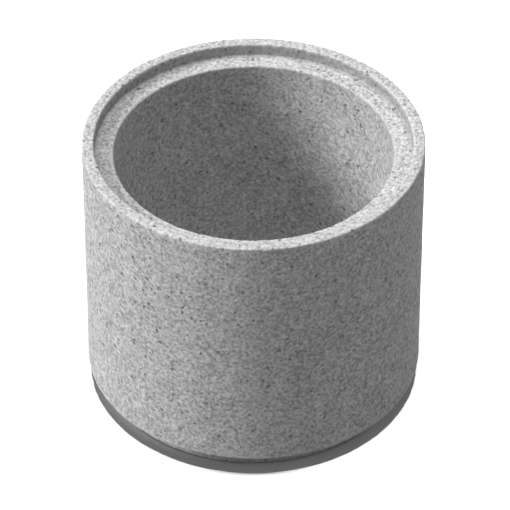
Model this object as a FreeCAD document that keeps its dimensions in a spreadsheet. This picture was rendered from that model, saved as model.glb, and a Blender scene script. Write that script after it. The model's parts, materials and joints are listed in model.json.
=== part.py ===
"""Round concrete flue liner, socket end up, standing on its spigot.

One casting. Liners stack into a flue: the spigot of each drops into the socket of the one
below, is bedded on the socket's ledge, and the gap left between lip and shoulder is pointed.
Millimetres, +Z up the flue, origin at the centre of the foot of the spigot.
"""

import FreeCAD, Part
import os

import Sketcher

DRIVING_SIZES = {
    "bore_diameter": 225.0,  # the clear flue way
    "wall_thickness": 25.5,
    "laid_length": 225.0,  # what each liner adds to the height of the flue
    "lip_thickness": 10.0,  # the part of the wall that stands up round the socket
    "socket_depth": 11.0,
    "joint_clearance": 1.5,  # all round, between a spigot and the socket it drops into
    "joint_gap": 4.0,  # left open between lip and shoulder, for pointing
    "arris_radius": 1.5,  # outer corners, as the mould leaves them
    "root_radius": 1.0,  # inner corners, at the back of the socket and under the shoulder
}

# Radii from the flue's axis and heights above the foot, as formulas on the sheet.
BORE_RADIUS = "sizes.bore_diameter / 2"
BODY_RADIUS = f"{BORE_RADIUS} + sizes.wall_thickness"
SOCKET_RADIUS = f"{BODY_RADIUS} - sizes.lip_thickness"
SPIGOT_RADIUS = f"{SOCKET_RADIUS} - sizes.joint_clearance"
SHOULDER_HEIGHT = "sizes.socket_depth + sizes.joint_gap"
LEDGE_HEIGHT = "sizes.laid_length"
RIM_HEIGHT = "sizes.laid_length + sizes.socket_depth"

# Sides of the wall's section, anticlockwise from the foot. A level side is placed by its
# height and an upright one by its radius. The foot lies on the sketch's own X axis.
SECTION = {
    "foot": ("Horizontal", None),
    "spigot": ("Vertical", SPIGOT_RADIUS),
    "shoulder": ("Horizontal", SHOULDER_HEIGHT),
    "body": ("Vertical", BODY_RADIUS),
    "rim": ("Horizontal", RIM_HEIGHT),
    "socket": ("Vertical", SOCKET_RADIUS),
    "ledge": ("Horizontal", LEDGE_HEIGHT),
    "bore": ("Vertical", BORE_RADIUS),
}
STARTS_AT_A_ROOT = ("shoulder", "ledge")  # sides that start from one of the inner corners
EDGE_TOLERANCE = 0.01


def make_sheet(doc):
    """The driving sizes, one row each: the name in column A and the aliased number in B."""
    sheet = doc.addObject("Spreadsheet::Sheet", "sizes")
    for row, (name, value) in enumerate(DRIVING_SIZES.items(), start=1):
        sheet.set(f"A{row}", name)
        sheet.set(f"B{row}", str(value))
        sheet.setAlias(f"B{row}", name)
    doc.recompute()


def origin_plane(body, role):
    """One of the body's own origin planes."""
    return next(feature for feature in body.Origin.OriginFeatures if feature.Role == role)


def rough_corner(side, direction):
    """Where a side starts before its sizes pull it into place: a plain stair, a step a side."""
    previous = (side - 1) % len(SECTION)
    if direction == "Horizontal":
        return FreeCAD.Vector(previous, side, 0)
    return FreeCAD.Vector(side, previous, 0)


def draw_wall_section(doc, body):
    """The wall cut through on one side of the flue."""
    sketch = body.newObject("Sketcher::SketchObject", "wall_section")
    sketch.AttachmentSupport = [(origin_plane(body, "XZ_Plane"), "")]
    sketch.MapMode = "FlatFace"
    corners = [rough_corner(side, direction) for side, (direction, _) in enumerate(SECTION.values())]
    for start, end in zip(corners, corners[1:] + corners[:1]):
        sketch.addGeometry(Part.LineSegment(start, end), False)
    for side, (name, (direction, place)) in enumerate(SECTION.items()):
        following = (side + 1) % len(SECTION)
        sketch.addConstraint(Sketcher.Constraint("Coincident", side, 2, following, 1))
        sketch.addConstraint(Sketcher.Constraint(direction, side))
        place_side(sketch, side, name, direction, place)
    doc.recompute()
    if not sketch.FullyConstrained:
        raise RuntimeError("the wall's section isn't held by its sizes")
    return sketch


def place_side(sketch, side, name, direction, place):
    """Holds a side at its height or its radius, and binds that to the sheet."""
    if place is None:
        sketch.addConstraint(Sketcher.Constraint("PointOnObject", side, 1, -1))
        return
    kind, measure = ("DistanceY", "height") if direction == "Horizontal" else ("DistanceX", "radius")
    start = sketch.Geometry[side].StartPoint
    value = start.y if direction == "Horizontal" else start.x
    index = sketch.addConstraint(Sketcher.Constraint(kind, -1, 1, side, 1, value))
    sketch.renameConstraint(index, f"{name}_{measure}")
    sketch.setExpression(f"Constraints.{name}_{measure}", place)


def section_corners(sketch):
    """The corner that each side starts from, as (radius, height), once the sketch is solved."""
    starts = [line.StartPoint for line in sketch.Geometry]
    return {name: (start.x, start.y) for name, start in zip(SECTION, starts)}


def turn_section(doc, body, sketch):
    """The section turned once round the flue's axis."""
    ring = body.newObject("PartDesign::Revolution", "ring")
    ring.Profile = sketch
    ring.ReferenceAxis = (sketch, ["V_Axis"])
    ring.Angle = 360.0
    body.Tip = ring
    doc.recompute()
    return ring


def circular_edges(ring, corners):
    """The names of the ring's circular edges that lie at the given corners."""
    found = []
    for number, edge in enumerate(ring.Shape.Edges, start=1):
        if not isinstance(edge.Curve, Part.Circle):
            continue
        radius, height = edge.Curve.Radius, edge.Curve.Center.z
        if any(
            abs(radius - x) < EDGE_TOLERANCE and abs(height - z) < EDGE_TOLERANCE
            for x, z in corners
        ):
            found.append(f"Edge{number}")
    return found


def round_corners(doc, body, base, name, corners, radius):
    """A fillet on the ring's edges at the given corners, its radius bound to the sheet."""
    edges = circular_edges(base, corners)
    if len(edges) != len(corners):
        raise RuntimeError(f"{name}: {len(corners)} edges wanted, {len(edges)} found")
    fillet = body.newObject("PartDesign::Fillet", name)
    fillet.Base = (base, edges)
    fillet.setExpression("Radius", radius)
    body.Tip = fillet
    doc.recompute()
    return fillet


def make_flue_liner(doc):
    """The one casting: its section turned, then the mould's corner radii."""
    body = doc.addObject("PartDesign::Body", "flue_liner")
    body.Label = "flue_liner"
    sketch = draw_wall_section(doc, body)
    ring = turn_section(doc, body, sketch)
    corners = section_corners(sketch)
    arrises = [corner for name, corner in corners.items() if name not in STARTS_AT_A_ROOT]
    roots = [corners[name] for name in STARTS_AT_A_ROOT]
    rounded = round_corners(doc, body, ring, "arrises", arrises, "sizes.arris_radius")
    round_corners(doc, body, rounded, "roots", roots, "sizes.root_radius")
    return body


def check_document(doc):
    """Stops if any object of the document failed to rebuild."""
    for item in doc.Objects:
        if {"Invalid", "Error"} & set(item.State):
            raise RuntimeError(f"{item.Label} failed: {item.State}")


def write_step(node):
    """The node's shape, checked, as parts/LABEL.step."""
    shape = node.Shape
    if shape.isNull() or not shape.isValid():
        raise RuntimeError(f"{node.Label} has no valid shape")
    os.makedirs("parts", exist_ok=True)
    shape.exportStep(f"parts/{node.Label}.step")
    box = shape.optimalBoundingBox()
    print(
        f"{node.Label}: {len(shape.Solids)} solid, {shape.Volume / 1e6:.4f} litres, "
        f"{box.XLength:.2f} x {box.YLength:.2f} x {box.ZLength:.2f} mm, foot at z {box.ZMin:.3f}"
    )


doc = FreeCAD.newDocument("flue_liner_part")
make_sheet(doc)
nodes = [make_flue_liner(doc)]
doc.recompute()
check_document(doc)
for node in nodes:
    write_step(node)
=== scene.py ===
"""A round concrete flue liner on a white floor, in metres, in the frame of its CAD part."""

import json
import math

import bpy
import numpy as np
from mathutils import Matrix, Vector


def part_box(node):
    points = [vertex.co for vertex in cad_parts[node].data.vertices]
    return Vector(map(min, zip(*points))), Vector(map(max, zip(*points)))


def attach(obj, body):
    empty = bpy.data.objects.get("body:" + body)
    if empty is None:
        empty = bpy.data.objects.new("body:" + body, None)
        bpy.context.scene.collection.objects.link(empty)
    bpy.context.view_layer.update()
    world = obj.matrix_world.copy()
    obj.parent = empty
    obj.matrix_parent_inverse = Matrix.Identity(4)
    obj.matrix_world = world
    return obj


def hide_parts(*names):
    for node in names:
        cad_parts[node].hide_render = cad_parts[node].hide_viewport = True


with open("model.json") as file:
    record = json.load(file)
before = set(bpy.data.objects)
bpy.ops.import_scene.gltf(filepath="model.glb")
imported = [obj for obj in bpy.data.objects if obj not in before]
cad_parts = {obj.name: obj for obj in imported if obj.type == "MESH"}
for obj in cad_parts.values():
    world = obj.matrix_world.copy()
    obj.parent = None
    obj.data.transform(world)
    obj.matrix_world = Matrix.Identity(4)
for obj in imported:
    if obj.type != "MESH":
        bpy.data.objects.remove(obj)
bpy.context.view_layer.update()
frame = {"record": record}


# ---------------------------------------------------------------------------------------------
# The liner: one casting of semi-dry concrete, pressed and vibrated in a steel mould and slid
# straight out of it. Its wall is a single section carried round the flue, a socket at the top
# and a spigot at the foot, with arrises that the mould and handling have left a little ragged.

MILLIMETRE = 0.001
mounts = {mount["name"]: mount for mount in frame["record"]["mounts"]}
bore_radius = mounts["flue_way"]["dims"]["r_mm"] * MILLIMETRE
socket_radius = mounts["socket"]["dims"]["r_mm"] * MILLIMETRE
spigot_radius = mounts["spigot"]["dims"]["r_mm"] * MILLIMETRE
body_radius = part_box("flue_liner")[1].x
foot_height = mounts["foot"]["pos_m"][2]
shoulder_height = mounts["shoulder"]["pos_m"][2]
ledge_height = mounts["ledge"]["pos_m"][2]
rim_height = mounts["rim"]["pos_m"][2]
ARRIS = 1.5 * MILLIMETRE
ROOT = 1.0 * MILLIMETRE

# The section's corners, anticlockwise: radius from the axis, height, rounding, raggedness.
section = [
    (bore_radius, foot_height, ARRIS, 0.12 * MILLIMETRE),
    (spigot_radius, foot_height, ARRIS, 0.20 * MILLIMETRE),
    (spigot_radius, shoulder_height, ROOT, 0.0),
    (body_radius, shoulder_height, ARRIS, 0.18 * MILLIMETRE),
    (body_radius, rim_height, ARRIS, 0.18 * MILLIMETRE),
    (socket_radius, rim_height, ARRIS, 0.18 * MILLIMETRE),
    (socket_radius, ledge_height, ROOT, 0.0),
    (bore_radius, ledge_height, ARRIS, 0.15 * MILLIMETRE),
]
POINTS_AROUND = 576
POINTS_ON_A_CORNER = 6
CLOSEST_ROWS = 1.3 * MILLIMETRE
SPARSEST_ROWS = 9.0 * MILLIMETRE
STEPS_ON_A_SHORT_SIDE = 8.0
MOST_CROWDED = 0.7


def wall_section():
    """The section as rows of points: (radius, height), outward normal, and place along it.

    Each corner is an arc, swept from the normal of the side before it to that of the side
    after it. A side's rows are closest at its ends: share t of the way along in even steps
    becomes t - crowding * sin(2 pi t) / (2 pi), so that the middle steps are 1 + crowding
    times as long as even ones.
    """
    corners = np.array([corner[:2] for corner in section])
    before = corners - np.roll(corners, 1, axis=0)
    after = np.roll(corners, -1, axis=0) - corners
    arcs, arc_normals = [], []
    for place, into, out_of, (_, _, rounding, _) in zip(corners, before, after, section):
        into = into / np.hypot(*into)
        out_of = out_of / np.hypot(*out_of)
        turn = math.copysign(1.0, into[0] * out_of[1] - into[1] * out_of[0])
        centre = place + rounding * (out_of - into)
        swing = np.linspace(0.0, math.pi / 2, POINTS_ON_A_CORNER)[:, None]
        normal = np.cos(swing) * [into[1], -into[0]] + np.sin(swing) * [out_of[1], -out_of[0]]
        arcs.append(centre + turn * rounding * normal)
        arc_normals.append(normal)
    rows, row_normals = [], []
    for arc, normal, following in zip(arcs, arc_normals, arcs[1:] + arcs[:1]):
        gap = following[0] - arc[-1]
        length = np.hypot(*gap)
        on_a_long_side = length / SPARSEST_ROWS * (1.0 + MOST_CROWDED)
        on_a_short_side = min(length / CLOSEST_ROWS, STEPS_ON_A_SHORT_SIDE)
        steps = max(2, math.ceil(max(on_a_long_side, on_a_short_side)))
        crowding = min(MOST_CROWDED, max(0.0, 1.0 - CLOSEST_ROWS * steps / length))
        even = np.arange(1, steps) / steps
        share = even - crowding * np.sin(2 * math.pi * even) / (2 * math.pi)
        rows += [arc, arc[-1] + share[:, None] * gap]
        row_normals += [normal, np.repeat(normal[-1:], steps - 1, axis=0)]
    rows = np.concatenate(rows)
    along = np.concatenate([[0.0], np.cumsum(np.hypot(*np.diff(rows, axis=0).T))])
    return rows, np.concatenate(row_normals), along


rows, row_normals, along = wall_section()
section_length = along[-1] + np.hypot(*(rows[0] - rows[-1]))
around = np.linspace(0.0, 2 * math.pi, POINTS_AROUND, endpoint=False)


def skin_waves(seed, shortest, longest, count=90):
    """Relief over the whole skin with a spread of 1, as rows by points around.

    A sum of cosines in random headings, cos(2 pi (a * along / length + b * angle / 2 pi) +
    phase), each with whole numbers a and b of waves, so that it meets itself both ways.
    """
    random = np.random.default_rng(seed)
    wavelength = np.exp(random.uniform(np.log(shortest), np.log(longest), count))
    heading = random.uniform(0.0, math.pi, count)
    phase = random.uniform(0.0, 2 * math.pi, count)
    waves_along = np.rint(section_length * np.cos(heading) / wavelength)
    waves_around = np.rint(2 * math.pi * bore_radius * np.sin(heading) / wavelength)
    turn_along = 2 * math.pi * np.outer(along / section_length, waves_along) + phase
    turn_around = np.outer(waves_around, around)
    waves = np.cos(turn_along) @ np.cos(turn_around) - np.sin(turn_along) @ np.sin(turn_around)
    return math.sqrt(2 / count) * waves


def ring_waves(random, shortest, longest, count=50):
    """Unevenness along one arris with a spread of 1: a sum of cosines of whole wave numbers."""
    circumference = 2 * math.pi * body_radius
    waves = np.rint(random.uniform(circumference / longest, circumference / shortest, count))
    phase = random.uniform(0.0, 2 * math.pi, count)
    return math.sqrt(2 / count) * np.cos(np.outer(around, waves) + phase).sum(axis=1)


def bruises(random, count, deepest):
    """Depth of a few knocks along one arris: each one its depth * exp(-(distance / width) ^ 2)."""
    place = random.uniform(0.0, 2 * math.pi, count)
    width = random.uniform(1.6, 3.6, count) * MILLIMETRE / body_radius
    depth = random.uniform(0.4, 1.0, count) * deepest
    distance = (around[:, None] - place + math.pi) % (2 * math.pi) - math.pi
    return (depth * np.exp(-((distance / width) ** 2))).max(axis=1)


# The skin lies a little inside the mould's surface, in soft hollows and a finer unevenness.
HOLLOWS = 0.10 * MILLIMETRE
UNEVENNESS = 0.035 * MILLIMETRE
sunk = HOLLOWS * (1 + np.tanh(skin_waves(11, 30 * MILLIMETRE, 75 * MILLIMETRE)))
sunk += UNEVENNESS * (1 + np.tanh(skin_waves(12, 10 * MILLIMETRE, 22 * MILLIMETRE)))
section_move = -sunk[..., None] * row_normals[:, None, :]

# Each arris has crumbled here and there along its length and taken a few knocks, both straight
# into the corner and dying out over a short way from it. It is sound where its wave is below
# the level given here, and its deepest knock is this many times its raggedness.
ARRIS_REACH = 2.0 * MILLIMETRE
SOUND_BELOW = -0.25
KNOCKS = 5
DEEPEST_KNOCK = 4.0
worn = np.zeros(len(rows))
for number, (corner_radius, corner_height, rounding, ragged) in enumerate(section):
    if ragged == 0.0:
        continue
    random = np.random.default_rng(100 + number)
    faces_in = corner_radius in (bore_radius, socket_radius)
    faces_down = corner_height < rim_height / 2
    outward = np.array([-1.0 if faces_in else 1.0, -1.0 if faces_down else 1.0])
    away = np.hypot(*(rows - (corner_radius, corner_height)).T)
    near = np.exp(-((np.maximum(away - rounding, 0.0) / ARRIS_REACH) ** 2))
    uneven = ring_waves(random, 4.5 * MILLIMETRE, 30 * MILLIMETRE)
    crumbled = np.maximum(uneven - SOUND_BELOW, 0.0) * ragged
    knocked = bruises(random, KNOCKS, DEEPEST_KNOCK * ragged)
    depth = near[:, None] * np.maximum(crumbled, knocked)
    section_move -= depth[..., None] * outward / math.sqrt(2)
    worn = np.maximum(worn, near)

radius, height = np.moveaxis(rows[:, None, :] + section_move, -1, 0)
places = np.stack([radius * np.cos(around), radius * np.sin(around), height], axis=-1)


def closed_grid(name, places, values):
    """A mesh over a grid of points that closes on itself both ways, one quad to a cell.

    A cell's corners go along the section last, which turns its face outwards. Each of the
    values, a number to a row, is kept in the mesh as an attribute of its points.
    """
    count_along, count_around = places.shape[:2]
    number = np.arange(count_along * count_around).reshape(count_along, count_around)
    beside = np.roll(number, -1, axis=1)
    after = np.roll(number, -1, axis=0)
    quads = np.stack([number, beside, np.roll(after, -1, axis=1), after], axis=-1).reshape(-1, 4)
    mesh = bpy.data.meshes.new(name)
    mesh.from_pydata(places.reshape(-1, 3), [], quads)
    mesh.polygons.foreach_set("use_smooth", np.ones(len(quads), bool))
    for label, value in values.items():
        attribute = mesh.attributes.new(label, "FLOAT", "POINT")
        attribute.data.foreach_set("value", np.repeat(value, count_around).astype(np.float32))
    mesh.update()
    piece = bpy.data.objects.new(name, mesh)
    bpy.context.scene.collection.objects.link(piece)
    return piece


# Painted shade: the skin is darkened where it lies in shade, most of all on the socket's upright and into
# its root, and a little all down the bore.
FADES_FROM = 1.0 * MILLIMETRE
FADES_TO = 4.0 * MILLIMETRE
BORE_SHARE = 0.20
row_radius, row_height = rows.T
from_upright = socket_radius - row_radius
in_socket = np.clip((FADES_TO - from_upright) / (FADES_TO - FADES_FROM), 0.0, 1.0)
in_socket *= (from_upright > -ARRIS) & (row_height > ledge_height - ROOT) & (row_height < rim_height - ARRIS)
in_bore = (row_radius < bore_radius + ARRIS) * BORE_SHARE
painted_recess_shade_share = np.maximum(in_socket, in_bore)

# Painted light: the spigot, which sits in shade under the shoulder, is lightened: on all of its lower half,
# and less and less above that, as far as the foot of the body.
painted_spigot_light_share = (row_radius > spigot_radius - 2 * ARRIS) * np.clip(1.5 - row_height / shoulder_height, 0.0, 1.0)
skin = {"arris_wear": worn, "painted_recess_shade": painted_recess_shade_share, "painted_spigot_light": painted_spigot_light_share}
liner = closed_grid("liner_casting", places, skin)
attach(liner, "root")
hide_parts("flue_liner")


class Wire:
    """One output of a node. The signs +, - and * on it add the Math node of that name."""

    def __init__(self, nodes, socket):
        self.nodes = nodes
        self.socket = socket

    def beside(self, output):
        """Another output of the same node."""
        return Wire(self.nodes, self.socket.node.outputs[output])

    def __add__(self, other):
        return self.nodes.math("ADD", self, other)

    def __radd__(self, other):
        return self.nodes.math("ADD", other, self)

    def __sub__(self, other):
        return self.nodes.math("SUBTRACT", self, other)

    def __rsub__(self, other):
        return self.nodes.math("SUBTRACT", other, self)

    def __mul__(self, other):
        return self.nodes.math("MULTIPLY", self, other)

    def __rmul__(self, other):
        return self.nodes.math("MULTIPLY", other, self)


class Nodes:
    """The nodes of one material or world."""

    def __init__(self, owner):
        owner.use_nodes = True
        self.tree = owner.node_tree

    def node(self, kind, settings, inputs, output=0):
        """Adds a node: its settings first, then its sockets by name or number, then one output."""
        node = self.tree.nodes.new("ShaderNode" + kind)
        for name, value in settings.items():
            setattr(node, name, value)
        self.feed(node, inputs)
        return Wire(self, node.outputs[output])

    def feed(self, node, inputs):
        """Links each wire to its socket of the node, and sets the sockets that get plain values."""
        for name, value in inputs.items():
            if isinstance(value, Wire):
                self.tree.links.new(value.socket, node.inputs[name])
            else:
                node.inputs[name].default_value = value

    def math(self, operation, first, second):
        """An operation on two numbers."""
        return self.node("Math", {"operation": operation}, {0: first, 1: second})

    def vectors(self, operation, first, second):
        """An operation on two places or directions."""
        return self.node("VectorMath", {"operation": operation}, {0: first, 1: second})

    def blend(self, factor, under, over):
        """One colour over another, by a factor that is kept between 0 and 1."""
        settings = {"data_type": "RGBA", "blend_type": "MIX", "clamp_factor": True}
        return self.node("Mix", settings, {"Factor": factor, 6: under, 7: over}, output=2)

    def finish(self, shader, inputs):
        """Feeds the shader that the material or world already has."""
        self.feed(self.tree.nodes[shader], inputs)


def grey(share):
    """A neutral grey that throws back this share of the light."""
    return (share, share, share, 1.0)


pressed_concrete = bpy.data.materials.new("pressed_concrete")
concrete = Nodes(pressed_concrete)
place = concrete.node("TexCoord", {}, {}, output="Object")


def noise(lump, seed, detail):
    """Noise that wanders about 0, in lumps this many millimetres across."""
    elsewhere = concrete.vectors("ADD", place, (0.37 * seed, 0.53 * seed, 0.71 * seed))
    scale = 1.0 / (lump * MILLIMETRE)
    inputs = {"Vector": elsewhere, "Scale": scale, "Detail": detail, "Roughness": 0.5}
    return concrete.node("TexNoise", {"noise_dimensions": "3D"}, inputs, output="Fac") - 0.5


def spots(spacing, seed, smallest, largest, softness):
    """Scattered spots, 1 inside and 0 outside, one to a cell as large as the spacing.

    Sizes are in millimetres. Each cell's spot has its own radius, between the smallest and the
    largest, and its edge fades over the softness to either side. The skin cuts the spots
    anywhere, so that it shows every size below those too.
    """
    elsewhere = concrete.vectors("ADD", crooked_place, (0.41 * seed, 0.29 * seed, 0.67 * seed))
    inputs = {"Vector": elsewhere, "Scale": 1.0 / (spacing * MILLIMETRE), "Randomness": 1.0}
    distance = concrete.node("TexVoronoi", {"feature": "F1"}, inputs, output="Distance")
    chance = concrete.node("SeparateColor", {}, {"Color": distance.beside("Color")})
    radius = smallest + (largest - smallest) * chance
    inputs = {"Value": distance * spacing, "From Min": radius - softness, "From Max": radius + softness}
    inputs |= {"To Min": 1.0, "To Max": 0.0}
    return concrete.node("MapRange", {"interpolation_type": "SMOOTHSTEP"}, inputs)


# Places pushed about by a millimetre or less, so that no spot cut from them is round.
PUSH = 2.2 * MILLIMETRE
push = concrete.node("TexNoise", {}, {"Vector": place, "Scale": 420.0, "Detail": 1.0}, output="Color")
push = concrete.vectors("SUBTRACT", push, (0.5, 0.5, 0.5))
push = concrete.vectors("MULTIPLY", push, (PUSH, PUSH, PUSH))
crooked_place = concrete.vectors("ADD", place, push)

# What shows in the skin: paste and sand in lumps of four sizes, then pores and pale grit.
cloud = noise(30.0, 1, 2.0)
patches = noise(9.0, 7, 1.0)
grain = noise(2.9, 2, 1.0)
sand = noise(1.3, 3, 1.0)
pits = spots(4.8, 4, 0.25, 1.15, 0.35)
holes = spots(9.5, 5, 0.5, 1.7, 0.45)
pale_grit = spots(5.2, 6, 0.4, 1.2, 0.45)
wear = concrete.node("Attribute", {"attribute_name": "arris_wear"}, {}, output="Fac")
# Painted shade of the socket's upright, its root and the bore.
painted_recess_shade = concrete.node("Attribute", {"attribute_name": "painted_recess_shade"}, {}, output="Fac")
# Painted light on the spigot in the shoulder's shade.
painted_light_on_spigot = concrete.node("Attribute", {"attribute_name": "painted_spigot_light"}, {}, output="Fac")

# Paste and sand from dark to pale, with the grit, the painted shade, the painted light, the worn arrises and
# the pores laid over them. Pores are also sunk in, and grit stands a little proud.
shade = 0.5 + 1.3 * grain + 0.55 * sand + 0.3 * patches + 0.2 * cloud
colour = concrete.blend(shade, grey(0.22), grey(1.00))
colour = concrete.blend(0.62 * pale_grit, colour, grey(0.92))
# Painted shade in the socket's upright, its root and the bore.
colour = concrete.blend(0.55 * painted_recess_shade, colour, grey(0.31))
# Painted light on the shaded spigot.
colour = concrete.blend(0.45 * painted_light_on_spigot, colour, grey(0.86))
colour = concrete.blend(0.25 * wear, colour, grey(0.72))
colour = concrete.blend(0.56 * pits, colour, grey(0.24))
colour = concrete.blend(0.69 * holes, colour, grey(0.17))
relief = 0.18 * grain + 0.10 * sand + 0.08 * pale_grit - 0.38 * pits - 0.80 * holes
bump = concrete.node("Bump", {}, {"Height": relief, "Strength": 1.0, "Distance": MILLIMETRE})
roughness = 0.88 + 0.25 * grain - 0.08 * pale_grit
skin_inputs = {"Base Color": colour, "Roughness": roughness, "Normal": bump, "Specular IOR Level": 0.25}
concrete.finish("Principled BSDF", skin_inputs)
liner.data.materials.append(pressed_concrete)


# ---------------------------------------------------------------------------------------------
# The floor: a plain white sheet, wide enough to reach the horizon. It shows white, keeps the
# dark line that the liner's shoulder leaves on it, and throws only a little light back up.

REACH = 30.0
floor_mesh = bpy.data.meshes.new("floor")
floor_mesh.from_pydata(
    [(-REACH, -REACH, 0.0), (REACH, -REACH, 0.0), (REACH, REACH, 0.0), (-REACH, REACH, 0.0)],
    [],
    [(0, 1, 2, 3)],
)
floor = bpy.data.objects.new("floor", floor_mesh)
bpy.context.scene.collection.objects.link(floor)

FLOOR_THROWS_BACK = 0.155
white_sheet = bpy.data.materials.new("white_sheet")
sheet = Nodes(white_sheet)


def seen_directly(nodes):
    """1 on a ray from the camera, or one in a mirror or in glass; 0 on one that only brings light."""
    camera_ray = nodes.node("LightPath", {}, {}, output="Is Camera Ray")
    mirrored = nodes.math("MAXIMUM", camera_ray, camera_ray.beside("Is Glossy Ray"))
    return nodes.math("MAXIMUM", mirrored, camera_ray.beside("Is Transmission Ray"))


sheet_colour = sheet.blend(seen_directly(sheet), grey(FLOOR_THROWS_BACK), grey(1.0))
sheet.finish("Principled BSDF", {"Base Color": sheet_colour, "Roughness": 1.0, "Specular IOR Level": 0.0})
floor.data.materials.append(white_sheet)


# ---------------------------------------------------------------------------------------------
# The light: white all round, dim except where it is seen directly, a broad lamp from the left
# and one from above for the liner, and for the floor two small ones, high on either side and
# a little behind, which leave it dark only under the liner's shoulder.

WORLD_LIGHT = 0.16
world = bpy.data.worlds.new("white_surround")
bpy.context.scene.world = world
surround = Nodes(world)
strength = WORLD_LIGHT + (1.0 - WORLD_LIGHT) * seen_directly(surround)
surround.finish("Background", {"Color": grey(1.0), "Strength": strength})


def lamp(name, lit, azimuth, elevation, spread, level):
    """A sun that lights one piece only, and gives a face that is square to it this level of light.

    Its angles are in degrees. The azimuth goes clockwise, seen from above, from the camera's
    side, and a level of 1 shows a white face as white.
    """
    sun = bpy.data.objects.new(name, bpy.data.lights.new(name, "SUN"))
    bpy.context.scene.collection.objects.link(sun)
    sun.data.energy = math.pi * level
    sun.data.angle = math.radians(spread)
    sun.rotation_euler = (math.radians(90.0 - elevation), 0.0, math.radians(-azimuth))
    only = bpy.data.collections.new("lit_by_" + name)
    only.objects.link(lit)
    sun.light_linking.receiver_collection = only


lamp("left_lamp", liner, 84.5, 33.5, 26.0, 0.81)
lamp("top_lamp", liner, 0.0, 90.0, 10.0, 0.44)
lamp("left_floor_lamp", floor, 103.0, 84.6, 2.8, 0.88)
lamp("right_floor_lamp", floor, 257.0, 84.6, 2.8, 0.88)


# ---------------------------------------------------------------------------------------------
# The camera: looking down at the liner's middle through a long lens, from a little over three
# metres away. It aims a millimetre or two off, which sets the liner right in the frame.

CAMERA_DISTANCE = 3.25192
LOOKS_DOWN = math.radians(39.656)
aim = np.array([0.0011, -0.00228, rim_height / 2])
towards_camera = np.array([0.0, -math.cos(LOOKS_DOWN), math.sin(LOOKS_DOWN)])
camera = bpy.data.objects.new("camera", bpy.data.cameras.new("camera"))
bpy.context.scene.collection.objects.link(camera)
camera.location = aim + CAMERA_DISTANCE * towards_camera
camera.rotation_euler = (math.pi / 2 - LOOKS_DOWN, 0.0, 0.0)
camera.data.lens = 279.95
camera.data.clip_end = 100.0
bpy.context.scene.camera = camera
bpy.context.scene.view_settings.view_transform = "Standard"
